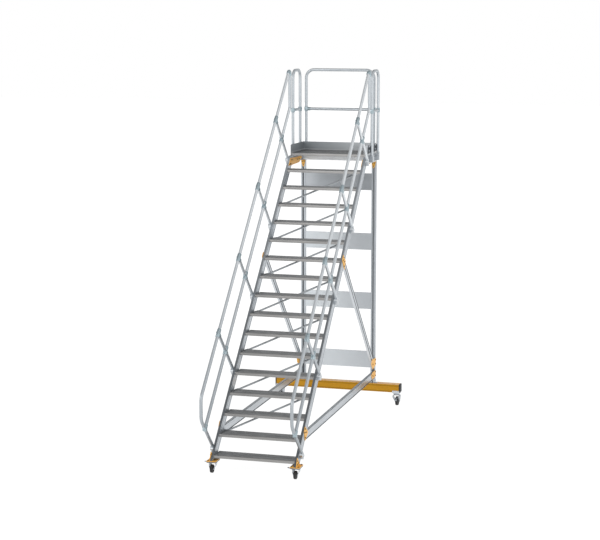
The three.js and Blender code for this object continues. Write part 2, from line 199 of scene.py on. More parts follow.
def grooved_outline(width, depth, front=(), side=(), faces=(0, 0, 0, 0), groove=1):
    """A rectangle round (0, 0) with grooves (offset, half width, cut) in its faces, and a material
    number for each of its edges. front grooves are in the two faces along the width. faces are the
    numbers of the low, right, high and left face."""
    corners = rectangle(-width / 2, width / 2, -depth / 2, depth / 2)
    points, marks = [], []
    for k, start in enumerate(corners):
        start, end = Vector(start), Vector(corners[(k + 1) % 4])
        along = (end - start).normalized()
        inward = Vector((-along.y, along.x))
        middle = (start + end) / 2
        sign = 1 if k < 2 else -1
        points.append(start)
        marks.append(faces[k])
        for offset, half_width, cut in sorted(front if k % 2 == 0 else side, key=lambda g: sign * g[0]):
            centre = middle + along * sign * offset
            points += [
                centre - along * half_width, centre - along * half_width + inward * cut,
                centre + along * half_width + inward * cut, centre + along * half_width,
            ]
            # the grooves' faces take material number groove, which in every use is a darker tone painting the
            # shade in them
            marks += [groove, groove, groove, faces[k]]
    return [tuple(p) for p in points], marks


class Shape:
    """Closed parts gathered into one mesh. Each part takes a material by its number."""

    def __init__(self):
        self.bm = bmesh.new()

    def loft(self, rings, material=0):
        """Skins a row of rings and closes both ends. material is a number, a list with a number for
        each edge of the ring, or a function of a face's centre."""
        rows = [[self.bm.verts.new(p) for p in ring] for ring in rings]
        faces = [(self.bm.faces.new(rows[0][::-1]), 0), (self.bm.faces.new(rows[-1]), 0)]
        for low, high in zip(rows, rows[1:]):
            for i in range(len(low)):
                j = (i + 1) % len(low)
                faces.append((self.bm.faces.new((low[i], low[j], high[j], high[i])), i))
        for face, edge in faces:
            face.smooth = True
            if callable(material):
                face.material_index = material(face.calc_center_median())
            else:
                face.material_index = material[edge] if isinstance(material, list) else material
        return self

    def plate(self, outline, place, low, high, material=0):
        """An outline of (a, b) pushed from low to high; place(a, b, t) gives the point."""
        return self.loft([[place(a, b, t) for a, b in outline] for t in (low, high)], material)

    def plate_x(self, outline, low, high, material=0):
        return self.plate(outline, lambda a, b, t: at(t, a, b), low, high, material)

    def plate_y(self, outline, low, high, material=0):
        return self.plate(outline, lambda a, b, t: at(a, t, b), low, high, material)

    def plate_z(self, outline, low, high, material=0):
        return self.plate(outline, lambda a, b, t: at(a, b, t), low, high, material)

    def box(self, xs, ys, zs, material=0, corner=0.0):
        return self.plate_z(rectangle(*xs, *ys, corner), *zs, material)

    def revolve(self, start, axis, profile, material=0, sides=ROUND_SIDES):
        """Turns a profile of (radius, distance along the axis) round the axis."""
        axis = axis.normalized()
        return self.loft([circle(start + axis * t, axis, r, sides) for r, t in profile], material)

    def rod(self, start, end, radius, material=0, sides=ROUND_SIDES, edge=0.001):
        """A cylinder with slightly broken edges."""
        length = (end - start).length
        profile = [(radius - edge, 0), (radius, edge), (radius, length - edge), (radius - edge, length)]
        return self.revolve(start, end - start, profile, material, sides)

    def tube(self, corners, bends, normal, radius=TUBE_R, material=0, steps=10):
        """A bent tube through corners in one plane. bends are the bend radii at its inner corners."""
        rings = []
        last = len(corners) - 1
        for i, corner in enumerate(corners):
            if i in (0, last):
                first = min(i, last - 1)
                tangent = (corners[first + 1] - corners[first]).normalized()
                rings.append(circle(corner, tangent, radius, across=normal))
                continue
            incoming = (corner - corners[i - 1]).normalized()
            outgoing = (corners[i + 1] - corner).normalized()
            turn = incoming.angle(outgoing)
            inward = (outgoing - incoming * math.cos(turn)).normalized()
            start = corner - incoming * bends[i - 1] * math.tan(turn / 2)
            for k in range(steps + 1):
                angle = turn * k / steps
                point = start + bends[i - 1] * (incoming * math.sin(angle) + inward * (1 - math.cos(angle)))
                tangent = incoming * math.cos(angle) + inward * math.sin(angle)
                rings.append(circle(point, tangent, radius, across=normal))
        return self.loft(rings, material)

    def bolt(self, point, axis, radius, material=0, washer=True):
        """A hexagon head on a washer, standing on the surface at point."""
        axis = axis.normalized()
        base = point - axis * 0.001
        if washer:
            self.revolve(base, axis, [(radius * 1.45, 0), (radius * 1.45, 0.0024), (radius * 1.35, 0.0028)],
                         material, 20)
            base = base + axis * 0.0026
        height = radius * 0.8
        profile = [(radius, 0), (radius, height * 0.8), (radius * 0.84, height)]
        return self.revolve(base, axis, profile, material, 6)


def round_edges(obj, width):
    """A small bevel on the sharp edges only."""
    bevel = obj.modifiers.new("edges", "BEVEL")
    bevel.width = width
    bevel.segments = 2
    bevel.limit_method = "ANGLE"
    bevel.angle_limit = math.radians(40)
    bevel.harden_normals = True


def piece(name, shape, materials, body=LADDER, bevel=0.0, replaces=None):
    """Turns a shape into a named object that rides on a body and may stand for a CAD node."""
    bmesh.ops.recalc_face_normals(shape.bm, faces=shape.bm.faces)
    mesh = bpy.data.meshes.new(name)
    shape.bm.to_mesh(mesh)
    shape.bm.free()
    mesh.set_sharp_from_angle(angle=SMOOTH_ANGLE)
    for material in materials:
        mesh.materials.append(material)
    obj = bpy.data.objects.new(name, mesh)
    bpy.context.scene.collection.objects.link(obj)
    if bevel:
        round_edges(obj, bevel)
    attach(obj, body)
    if replaces:
        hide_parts(replaces)


# ---------------------------------------------------------------- materials
def srgb(*shade):
    """A colour given as 0-255 display values, as the linear colour a shader takes."""
    def linear(value):
        value /= 255
        return value / 12.92 if value <= 0.04045 else ((value + 0.055) / 1.055) ** 2.4
    return tuple(linear(value) for value in shade) + (1.0,)


class Finish:
    """A Principled material with procedural colour, roughness and bump."""

    def __init__(self, name, metallic=0.0):
        self.material = bpy.data.materials.new(name)
        self.material.use_nodes = True
        self.tree = self.material.node_tree
        self.shader = self.tree.nodes["Principled BSDF"]
        self.shader.inputs["Metallic"].default_value = metallic
        self.position = self.tree.nodes.new("ShaderNodeTexCoord").outputs["Object"]

    def streaks(self, direction, fine, coarse):
        """Coordinates that vary quickly across a direction and slowly along it."""
        turn = direction.rotation_difference(Z).to_euler()
        rotate = self.tree.nodes.new("ShaderNodeVectorRotate")
        rotate.rotation_type = "EULER_XYZ"
        rotate.inputs["Rotation"].default_value = turn
        self.tree.links.new(self.position, rotate.inputs["Vector"])
        scale = self.tree.nodes.new("ShaderNodeVectorMath")
        scale.operation = "MULTIPLY"
        scale.inputs[1].default_value = (fine, fine, coarse)
        self.tree.links.new(rotate.outputs[0], scale.inputs[0])
        return scale.outputs[0]

    def noise(self, scale, vector=None, detail=4.0):
        node = self.tree.nodes.new("ShaderNodeTexNoise")
        node.inputs["Scale"].default_value = scale
        node.inputs["Detail"].default_value = detail
        self.tree.links.new(vector or self.position, node.inputs["Vector"])
        return node.outputs["Fac"]

    def remap(self, value, low, high, start=0.3, end=0.7):
        """value from start..end spread over low..high."""
        node = self.tree.nodes.new("ShaderNodeMapRange")
        node.interpolation_type = "SMOOTHSTEP"
        for socket, number in zip(node.inputs[1:5], (start, end, low, high)):
            socket.default_value = number
        self.tree.links.new(value, node.inputs["Value"])
        return node.outputs["Result"]

    def mix(self, factor, first, second):
        node = self.tree.nodes.new("ShaderNodeMix")
        node.data_type = "RGBA"
        self.tree.links.new(factor, node.inputs["Factor"])
        for socket, colour in ((node.inputs[6], first), (node.inputs[7], second)):
            if isinstance(colour, tuple):
                socket.default_value = colour
            else:
                self.tree.links.new(colour, socket)
        return node.outputs[2]

    def fade(self, tone, other, axis, start, end):
        """tone turning into other from start to end along an axis."""
        split = self.tree.nodes.new("ShaderNodeSeparateXYZ")
        self.tree.links.new(self.position, split.inputs[0])
        return self.mix(self.remap(split.outputs[axis], 0.0, 1.0, start, end), tone, other)

    def colour(self, output):
        self.tree.links.new(output, self.shader.inputs["Base Color"])

    def roughness(self, output):
        self.tree.links.new(output, self.shader.inputs["Roughness"])

    def bump(self, height, distance, strength):
        node = self.tree.nodes.new("ShaderNodeBump")
        node.inputs["Strength"].default_value = strength
        node.inputs["Distance"].default_value = distance
        self.tree.links.new(height, node.inputs["Height"])
        self.tree.links.new(node.outputs["Normal"], self.shader.inputs["Normal"])


def drawn_metal(name, direction, dark, light, rough=(0.28, 0.42), metallic=1.0, foot=None):
    """Extruded or drawn aluminium: fine lengthwise lines, cloudy tone and handling marks. foot is
    the tone it drifts to towards the floor, a painted shade on its lower part."""
    finish = Finish(name, metallic)
    dark, light = srgb(*dark), srgb(*light)
    lines = finish.noise(1.0, finish.streaks(direction, 900.0, 6.0), 3.0)
    cloud = finish.noise(5.0)
    scuffs = finish.noise(1.0, finish.streaks(direction, 60.0, 2.0), 6.0)
    rubbed = tuple(0.72 * c for c in dark[:3]) + (1.0,)
    tone = finish.mix(finish.remap(lines, 0.0, 1.0), dark, light)
    worn = finish.mix(finish.remap(scuffs, 0.0, 0.3, 0.55, 0.75), tone, rubbed)
    clouded = finish.mix(finish.remap(cloud, 0.0, 0.45), worn, light)
    # painted shade: with a foot tone given, the colour darkens from the platform's height down to the floor
    finish.colour(finish.fade(clouded, srgb(*foot), "Z", PLATFORM_Z, 0.0) if foot else clouded)
    finish.roughness(finish.remap(scuffs, *rough))
    finish.bump(lines, 0.00006, 0.3)
    return finish.material


def sheet_metal(name, dark, light, fade, metallic=1.0):
    """Flat mill sheet: brushed along X, with soft clouds. The last colour given is the tone its +X end drifts
    to, painted light and shade across the sheet.
    """
    finish = Finish(name, metallic)
    grain = finish.noise(1.0, finish.streaks(X, 700.0, 12.0), 3.0)
    cloud = finish.noise(2.2)
    tone = finish.mix(finish.remap(cloud, 0.0, 1.0), srgb(*dark), srgb(*light))
    # painted light and shade: the tone drifts to the end tone from -X to +X
    finish.colour(finish.fade(tone, srgb(*fade), "X", -STILE_IN, STILE_IN))
    finish.roughness(finish.remap(grain, 0.3, 0.5))
    finish.bump(grain, 0.00008, 0.4)
    return finish.material


def zinc_plate(name, dark, light):
    """Bright zinc plating: crystalline patches and a slightly uneven gloss."""
    finish = Finish(name, 1.0)
    dark, light = srgb(*dark), srgb(*light)
    spangle = finish.noise(140.0, detail=2.0)
    cloud = finish.noise(28.0)
    patch = finish.mix(finish.remap(spangle, 0.0, 1.0, 0.35, 0.65), dark, light)
    finish.colour(finish.mix(finish.remap(cloud, 0.0, 0.5), patch, light))
    finish.roughness(finish.remap(spangle, 0.26, 0.46))
    finish.bump(cloud, 0.0002, 0.3)
    return finish.material


def powder_coat(name, shade, base, light, specular=0.5):
    """Sprayed paint: orange-peel bump, slight tone drift and small rubbed spots."""
    finish = Finish(name)
    finish.shader.inputs["Specular IOR Level"].default_value = specular
    peel = finish.noise(650.0, detail=2.0)
    drift = finish.noise(6.0)
    rubs = finish.noise(38.0, detail=6.0)
    tone = finish.mix(finish.remap(drift, 0.0, 1.0), srgb(*base), srgb(*light))
    finish.colour(finish.mix(finish.remap(rubs, 0.0, 0.6, 0.62, 0.72), tone, srgb(*shade)))
    finish.roughness(finish.remap(rubs, 0.34, 0.52))
    finish.bump(peel, 0.0003, 0.35)
    return finish.material


def moulded(name, dark, light, rough=(0.55, 0.75)):
    """Rubber or moulded plastic: a fine grain and a dusty, uneven tone."""
    finish = Finish(name)
    fine = finish.noise(420.0, detail=2.0)
    dust = finish.noise(30.0, detail=5.0)
    finish.colour(finish.mix(finish.remap(dust, 0.0, 1.0), srgb(*dark), srgb(*light)))
    finish.roughness(finish.remap(dust, *rough))
    finish.bump(fine, 0.0004, 0.3)
    return finish.material


PROFILE = {
    name: drawn_metal(f"profile_{name}", direction, (168, 174, 179), (190, 195, 200))
    for name, direction in (("up_the_slope", UP_SLOPE), ("down_the_brace", OFF_SLOPE),
                            ("lengthwise", Y), ("upright", Z))
}
# an almost white, low-metal copy of the profile for the platform's rear cross member: a painted highlight
# standing in for its bright reflection
CROSS_MEMBER_PAINTED_HIGHLIGHT = drawn_metal("profile_across_painted_highlight", X, (236, 240, 244), (247, 249, 251), metallic=0.2)
# the stringers' front faces: the profile's tone, with painted shade darkening it towards the floor
STILE_FRONT_PAINTED_SHADE = drawn_metal("profile_front_painted_shade", UP_SLOPE, (166, 172, 177), (186, 191, 196),
                          foot=(112, 116, 120))
# a paler copy of the profile for the braces' low face: painted highlight
PAINTED_HIGHLIGHT_FACE = drawn_metal("profile_painted_highlight_face", OFF_SLOPE, (196, 201, 205), (212, 216, 220))
SHADED_FACE = drawn_metal("profile_shaded_face", Y, (140, 146, 151), (158, 164, 169))
# darker copies of the profile for the faces inside the grooves: painted shade in the recesses
GROOVE_PAINTED_SHADE = drawn_metal("profile_groove_painted_shade", Y, (112, 116, 120), (130, 134, 138), (0.5, 0.65), 0.6)
DARK_GROOVE_PAINTED_SHADE = drawn_metal("profile_dark_groove_painted_shade", Y, (74, 78, 82), (92, 96, 100), (0.5, 0.65), 0.6)
# satin tube whose colour darkens towards the floor as painted shade, and a darker copy of it for the guards
# and the handrails' upright legs, also painted shade
TUBE_FOOT_PAINTED_SHADE = drawn_metal("satin_tube_foot_painted_shade", UP_SLOPE, (206, 211, 215), (221, 225, 228), (0.34, 0.46), 0.8,
                   (162, 168, 173))
GUARD_TUBE_PAINTED_SHADE = drawn_metal("satin_guard_tube_painted_shade", Z, (174, 180, 185), (192, 197, 201), (0.34, 0.46), 0.8)
CASTING = zinc_plate("clamp_casting", (154, 169, 175), (172, 186, 192))
SOCKET = zinc_plate("socket_casting", (180, 184, 188), (202, 206, 209))
RIBBED = drawn_metal("ribbed_tread", X, (112, 113, 114), (138, 139, 140), (0.42, 0.6))
# the treads' ribbed aluminium in a darker tone for the deck: painted shade
DECK_PAINTED_SHADE = drawn_metal("ribbed_deck_painted_shade", X, (94, 95, 96), (118, 119, 120), (0.42, 0.6))
NOSING = drawn_metal("tread_nosing", X, (138, 137, 136), (158, 157, 156), (0.36, 0.5))
CURB = drawn_metal("curb_strip", X, (176, 179, 181), (194, 197, 199), (0.36, 0.5), 0.7)
# painted light and shade: the panels darken towards +X, the top panel is a darker copy, and the toe boards
# lighten towards +X
PANEL = sheet_metal("panel_sheet", (204, 209, 213), (216, 221, 224), (190, 194, 198))
TOP_PANEL_PAINTED_SHADE = sheet_metal("top_panel_sheet_painted_shade", (170, 174, 178), (184, 188, 192), (162, 166, 170))
TOE = sheet_metal("toe_board_sheet", (144, 149, 153), (158, 163, 167), (196, 200, 203), 0.5)
ZINC = zinc_plate("zinc_plate", (184, 190, 196), (208, 213, 219))
FORK_ZINC = zinc_plate("fork_zinc", (146, 152, 158), (176, 182, 188))
BOLT = zinc_plate("bolt_zinc", (172, 177, 181), (208, 212, 215))
ROD = drawn_metal("rod_steel", X, (160, 165, 169), (180, 185, 189), (0.4, 0.55), 0.2)
# dark zinc for the guard brackets, also used for the walls under the foot plates' edges as painted shade
DARK_STEEL_AND_PAINTED_SHADE = zinc_plate("dark_bracket_and_painted_shade", (104, 108, 111), (128, 132, 135))
DARK_BOLT = zinc_plate("dark_bolt", (84, 80, 70), (112, 106, 94))
ORANGE = powder_coat("orange_coat", (190, 134, 44), (224, 164, 60), (234, 176, 78), 0.35)
YELLOW = powder_coat("yellow_coat", (170, 120, 14), (180, 128, 16), (186, 134, 22), 0.2)
# a paler yellow for the beam's top face as painted highlight, and a darker one for its grooves as painted
# shade
YELLOW_TOP_PAINTED_HIGHLIGHT = powder_coat("yellow_top_painted_highlight", (220, 174, 116), (228, 184, 128), (234, 192, 138))
YELLOW_GROOVE_PAINTED_SHADE = powder_coat("yellow_groove_painted_shade", (132, 94, 10), (150, 108, 12), (158, 116, 16), 0.2)
TYRE = moulded("tyre_rubber", (18, 18, 19), (34, 34, 35))
RIM = moulded("wheel_rim", (52, 54, 56), (74, 76, 78), (0.4, 0.6))
CAP = moulded("end_cap", (30, 31, 34), (42, 44, 47), (0.6, 0.75))


# ---------------------------------------------------------------- stair
def stringer(name, side):
    """An extrusion with two grooves in each side, cut level at both ends."""
    grooves = [(-0.034, 0.0035, 0.002), (0.034, 0.0035, 0.002)]
    outline, marks = grooved_outline(STILE_WIDTH, STILE_DEPTH, side=grooves, faces=(0, 0, 2, 0))
    middle = side * STILE_X

    def place(a, b, z):
        return at(middle + a, z - RISE - math.sqrt(2) * (b - STILE_DEPTH / 2), z)
    shape = Shape().plate(outline, place, FOOT_TOP + GAP, FRAME_TOP, marks)
    # the grooves take a darker tone as painted shade, and the front face darkens towards the floor as painted
    # shade
    materials = [PROFILE["up_the_slope"], GROOVE_PAINTED_SHADE, STILE_FRONT_PAINTED_SHADE]
    piece(f"stringer_profile_{name}", shape, materials, bevel=0.0008,
          replaces=f"stringer_{name}")


def ribbed_section(front, back, top, webs):
    """Section of a tread or deck: ribs on top behind a plain nosing, lips and webs below."""
    nosing = 0.030
    pitch = 0.0075
    rib = 0.0032
    valley = top - 0.0018
    points = [(front, top - TREAD_LIP), (front, top - 0.004), (front + 0.0012, top - 0.0012),
              (front + 0.004, top)]
    for y in (front + 0.010, front + 0.017, front + 0.024):
        points += [(y - 0.001, top), (y, top - 0.001), (y + 0.001, top)]
    y = front + nosing
    while y + pitch < back - 0.006:
        far = y + pitch - rib
        points += [(y, top), (y + 0.0006, valley), (far, valley), (far + 0.0006, top)]
        y += pitch
    points += [(back - 0.004, top), (back, top - 0.004), (back, top - TREAD_LIP),
               (back - SHEET, top - TREAD_LIP), (back - SHEET, top - SHEET)]
    for y in reversed(webs):
        points += [(y + SHEET, top - SHEET), (y + SHEET, top - TREAD_LIP),
                   (y, top - TREAD_LIP), (y, top - SHEET)]
    return points + [(front + SHEET, top - SHEET), (front + SHEET, top - TREAD_LIP)]


def nosing_split(front):
    """Material 1 for the faces of the nosing and front lip, 0 behind them."""
    edge = at(0, front, 0).y + 0.0285
    return lambda centre: 1 if centre.y < edge else 0


def tread(number):
    front = RISE * (number - 1)
    outline = ribbed_section(front, front + TREAD_DEPTH, RISE * number, [front + TREAD_DEPTH / 2])
    shape = Shape().plate_x(outline, -TREAD_HALF, TREAD_HALF, nosing_split(front))
    name = f"{number:02d}"
    piece(f"tread_ribbed_{name}", shape, [RIBBED, NOSING], replaces=f"tread_{name}")


def cross_rod(number):
    """A round rod between two lugs that are bolted to the rear lips of the treads."""
    lug = ROD_LUG_HALF
    drop = TREAD_LIP / 2
    back = TREAD_DEPTH + TREAD_LIP - drop + (ROD_R + 0.001) * math.sqrt(2)
    ends = [(-ROD_HALF_LENGTH, 2 * number), (ROD_HALF_LENGTH, 2 * number + 2)]
    points = [at(x, RISE * (steps - 1) + back, RISE * steps - drop) for x, steps in ends]
    shape = Shape().rod(*points, ROD_R, sides=20)
    for x, steps in ends:
        lip = RISE * (steps - 1) + TREAD_DEPTH + GAP
        rear = RISE * (steps - 1) + back + ROD_R + 0.002
        z = RISE * steps - drop
        shape.box((x - lug, x + lug), (lip, rear), (z - lug, z + lug))
        shape.bolt(at(x, rear, z), Y, 0.006, 1)
    piece(f"cross_rod_round_{number}", shape, [ROD, BOLT], bevel=0.0015,
          replaces=f"cross_rod_{number}")


# ---------------------------------------------------------------- rails and guards
def sleeve(shape, start, axis, length, radius=CLAMP_R):
    """One barrel of a clamp, with rounded ends."""
    edge = 0.004
    profile = [
        (radius - edge, 0), (radius - edge * 0.3, edge * 0.3), (radius, edge),
        (radius, length - edge), (radius - edge * 0.3, length - edge * 0.3), (radius - edge, length),
    ]
    shape.revolve(start, axis, profile)


def clamp(shape, centre, along, half, across, arms, out, back=None):
    """A cast clamp: a barrel on the rail, one on the post from arms[0] to arms[1], and set screws.
    back is the barrel's shorter reach below its centre, on a clamp at a rail's end."""
    back = back or half
    sleeve(shape, centre - along * back, along, back + half)
    sleeve(shape, centre + across * arms[0], across, arms[1] - arms[0], CLAMP_R - 0.001)
    for spot in (centre + along * half * 0.6, centre - along * back * 0.6, centre + across * arms[1] * 0.75):
        shape.rod(spot + out * (CLAMP_R - 0.004), spot + out * (CLAMP_R + 0.0008), 0.0055, 1, 12)


def handrail(name, side):
    """A closed loop of tube beside the stair, with four more posts, clamps and sockets."""
    x = side * RAIL_X
    out = X * side

    def rail(y, n):
        return at(x, y, y + RISE + n * math.sqrt(2))
    front_corner = at(x, RAIL_FRONT_Y, RISE + LOOP_LEG * math.sqrt(2) - RAIL_FRONT_Y)
    top_corner = rail(RAIL_END_Y, RAIL_HEIGHT)
    end_bend = 0.030

    def drop_leg(centre):
        """Material 1, the darker tube tone painted as shade, for the upright leg at the platform, 0 for the
        sloped rails and the front.
        """
        return 1 if centre.y > top_corner.y - end_bend else 0
    loop = Shape().tube([
        on_slope(x, LOOP_LEG, KNEE_HEIGHT), rail(RAIL_END_Y, KNEE_HEIGHT), top_corner,
        rail(RAIL_FRONT_Y, RAIL_HEIGHT), front_corner, on_slope(x, LOOP_LEG, POST_FOOT),
    ], [0.045, end_bend, 0.150, 0.150], X, material=drop_leg, steps=14)
    piece(f"handrail_tube_{name}", loop, [TUBE_FOOT_PAINTED_SHADE, GUARD_TUBE_PAINTED_SHADE], replaces=f"handrail_{name}")

    posts, clamps, sockets = Shape(), Shape(), Shape()
    places = [POST_FIRST + i * POST_PITCH for i in range(POSTS)]
    for s in places:
        posts.tube([on_slope(x, s, POST_FOOT), on_slope(x, s, RAIL_HEIGHT)], [], X)
        clamp(clamps, on_slope(x, s, RAIL_HEIGHT), UP_SLOPE, CLAMP_HALF, -OFF_SLOPE, (-0.022, 0.056), out)
    end = on_slope(x, LOOP_LEG, KNEE_HEIGHT)
    clamp(clamps, end, UP_SLOPE, CLAMP_HALF, -OFF_SLOPE, (-0.056, 0.026), out, back=CLAMP_R)
    for s in places:
        clamp(clamps, on_slope(x, s, KNEE_HEIGHT), UP_SLOPE, CLAMP_HALF, -OFF_SLOPE, (-0.040, 0.048), out)
    for s in [LOOP_LEG] + places:
        socket(sockets, side, s)
    elbow = [top_corner - Z * 0.098, top_corner, top_corner - UP_SLOPE * 0.098]
    clamps.tube(elbow, [end_bend], X, radius=CLAMP_R)
    piece(f"handrail_posts_{name}", posts, [TUBE_FOOT_PAINTED_SHADE])
    piece(f"handrail_clamps_{name}", clamps, [CASTING, BOLT], bevel=0.0006)
    piece(f"handrail_sockets_{name}", sockets, [SOCKET], bevel=0.004)


def socket(shape, side, s):
    """The casting on the stringer's side that holds the foot of a post."""
    low, high = SOCKET_ACROSS
    back, front = (s + offset for offset in SOCKET_ALONG)
    outline = rectangle(back, front, low, high, 0.016)
    inner, outer = STILE_OUT + GAP, STILE_OUT + 2 * TUBE_R
    shape.plate(outline, lambda a, b, t: on_slope(t, a, b), *span(side, inner, outer))
    middle = (back + front) / 2
    for n in (low + 0.022, high - 0.024):
        shape.bolt(on_slope(side * outer, middle, n), X * side, 0.0055, washer=False)


def guard(name, feet, normal, out):
    """A hoop on two legs with a knee rail and its tee clamps."""
    a, b = feet

    def up(foot, z):
        return Vector((foot.x, foot.y, z))
    hoop = Shape().tube([up(a, GUARD_FOOT), up(a, GUARD_TOP), up(b, GUARD_TOP), up(b, GUARD_FOOT)],
                        [GUARD_BEND, GUARD_BEND], normal, steps=14)
    hoop.tube([up(a, GUARD_KNEE), up(b, GUARD_KNEE)], [], normal)
    piece(f"guard_tube_{name}", hoop, [GUARD_TUBE_PAINTED_SHADE], replaces=f"guard_{name}")
    clamps = Shape()
    inward = (b - a).normalized()
    for foot, towards in ((a, inward), (b, -inward)):
        clamp(clamps, up(foot, GUARD_KNEE), Z, 0.030, towards, (-0.022, 0.060), out)
    piece(f"guard_clamps_{name}", clamps, [CASTING, BOLT], bevel=0.0006)


def guard_feet(name, side):
    """Sockets on the frame's side and dark brackets on the toe board, at each side guard leg."""
    sockets, brackets = Shape(), Shape()
    outer = STILE_OUT + 2 * TUBE_R + 0.002
    board = DECK_HALF + GAP + 0.003
    for y, top in zip(SIDE_GUARD_Y, (3.505, 3.530)):
        outline = rectangle(y - 0.026, y + 0.026, 3.416, top, 0.010)
        sockets.plate_x(outline, *span(side, STILE_OUT + GAP, outer))
        front, rear = y - 0.094, y + 0.024
        plate = rounded([(front, 3.534), (rear, 3.534), (rear, 3.644), (front + 0.034, 3.644),
                         (front, 3.606)], 0.005)
        brackets.plate_x(plate, *span(side, board, board + 0.005))
        strap = rectangle(y - 0.024, rear - STEP, 3.548, 3.632, 0.004)
        brackets.plate_x(strap, *span(side, board, board + 0.016))
        for z in (3.574, 3.628):
            seat = at(side * (board + 0.005), y - 0.046, z)
            brackets.rod(seat - X * side * 0.001, seat + X * side * 0.014, 0.011, 1, 20, edge=0.002)
    piece(f"guard_sockets_{name}", sockets, [SOCKET], bevel=0.003)
    piece(f"guard_brackets_{name}", brackets, [DARK_STEEL_AND_PAINTED_SHADE, ZINC], bevel=0.001)


# ---------------------------------------------------------------- platform
def platform():
    webs = [PLATFORM_Y + k * (DECK_BACK - PLATFORM_Y) / 6 for k in range(1, 6)]
    outline = ribbed_section(PLATFORM_Y, DECK_BACK, PLATFORM_Z, webs)
    deck = Shape().plate_x(outline, -DECK_HALF, DECK_HALF, nosing_split(PLATFORM_Y))
    piece("platform_deck_ribbed", deck, [DECK_PAINTED_SHADE, NOSING], replaces="platform_deck")

    curb = Shape()
    foot, low, high = 0.006, PLATFORM_Z, PLATFORM_Z + 0.016
    for _, side in SIDES:
        curb.box(span(side, DECK_HALF - foot, DECK_HALF), (PLATFORM_Y + 0.03, DECK_BACK), (low, high))
    curb.box((foot - DECK_HALF, DECK_HALF - foot), (DECK_BACK - foot, DECK_BACK), (low, high))
    piece("platform_curb_strip", curb, [CURB], bevel=0.001)

    height = FRAME_TOP - FRAME_BOTTOM
    middle = (FRAME_TOP + FRAME_BOTTOM) / 2
    back = REAR_POST_Y + REAR_POST / 2
    grooves = [(-0.026, 0.003, 0.002), (0.026, 0.003, 0.002)]
    section, marks = grooved_outline(STILE_WIDTH, height, side=grooves, groove=2)
    members = Shape()
    for _, side in SIDES:
        x = side * STILE_X
        members.loft([
            [at(x + a, stile_rear_y(middle + b) + GAP, middle + b) for a, b in section],
            [at(x + a, back, middle + b) for a, b in section],
        ], marks)
    cross, _ = grooved_outline(REAR_POST, height)
    # the rear cross member takes material 1, an almost white tone that paints its highlight
    members.plate(cross, lambda a, b, t: at(t, REAR_POST_Y + a, middle + b), -STILE_IN, STILE_IN, 1)
    # the side members' grooves take a darker tone as painted shade
    piece("platform_frame_profile", members, [PROFILE["lengthwise"], CROSS_MEMBER_PAINTED_HIGHLIGHT, GROOVE_PAINTED_SHADE],
          bevel=0.0012, replaces="platform_frame")


# ---------------------------------------------------------------- rear support
def rear_post(name, side):
    """A square extrusion with a broad groove in each face, between the beam and the platform frame."""
    broad = [(0.0, 0.010, 0.006)]
    section, marks = grooved_outline(REAR_POST, REAR_POST, front=broad, side=[(0.0, 0.004, 0.003)])
    x = side * (STILE_OUT - REAR_POST / 2)
    post = Shape().plate(section, lambda a, b, t: at(x + a, REAR_POST_Y + b, t), BEAM_TOP + GAP,
                         FRAME_BOTTOM - GAP, marks)
    # painted shade: the grooves take a darker tone, darker still on the left post, which stands in shade
    groove = DARK_GROOVE_PAINTED_SHADE if side < 0 else GROOVE_PAINTED_SHADE
    piece(f"rear_post_profile_{name}", post, [PROFILE["upright"], groove], bevel=0.001,
          replaces=f"rear_post_{name}")


def rear_support(name, side):
    """The level strut and the brace from a stringer to its rear post, grooved near their edges."""
    middle = (STRUT_BOTTOM + STRUT_TOP) / 2
    x = side * STILE_X
    grooves = [(-0.041, 0.006, 0.005), (0.045, 0.003, 0.003)]
    section, marks = grooved_outline(STILE_WIDTH, STRUT_TOP - STRUT_BOTTOM, side=grooves, faces=(0, 0, 2, 0))
    strut = Shape().loft([
        [at(x + a, stile_rear_y(middle + b) + GAP, middle + b) for a, b in section],
        [at(x + a, REAR_FACE - GAP, middle + b) for a, b in section],
    ], marks)
    # painted shade: the grooves take a dark tone and the strut's top face a shaded one
    piece(f"lower_strut_profile_{name}", strut, [PROFILE["lengthwise"], DARK_GROOVE_PAINTED_SHADE, SHADED_FACE],
          bevel=0.001, replaces=f"lower_strut_{name}")

    lean = STILE_DEPTH * math.sqrt(2) - RISE + GAP * math.sqrt(2)
    grooves = [(-0.029, 0.008, 0.005), (0.029, 0.008, 0.005)]
    section, marks = grooved_outline(STILE_WIDTH, BRACE_DEPTH, side=grooves, faces=(2, 0, 0, 0))

    def upper_end(a, b):
        total = BRACE_SUM + b * math.sqrt(2)
        return at(x + a, (total + lean) / 2, (total - lean) / 2)

    def lower_end(a, b):
        return at(x + a, REAR_FACE - GAP, BRACE_SUM + b * math.sqrt(2) - REAR_FACE + GAP)
    brace = Shape().loft([[place(a, b) for a, b in section] for place in (upper_end, lower_end)], marks)
    # the grooves take a dark tone as painted shade and the brace's low face a paler one as painted highlight
    piece(f"upper_brace_profile_{name}", brace, [PROFILE["down_the_brace"], DARK_GROOVE_PAINTED_SHADE, PAINTED_HIGHLIGHT_FACE],
          bevel=0.001, replaces=f"upper_brace_{name}")


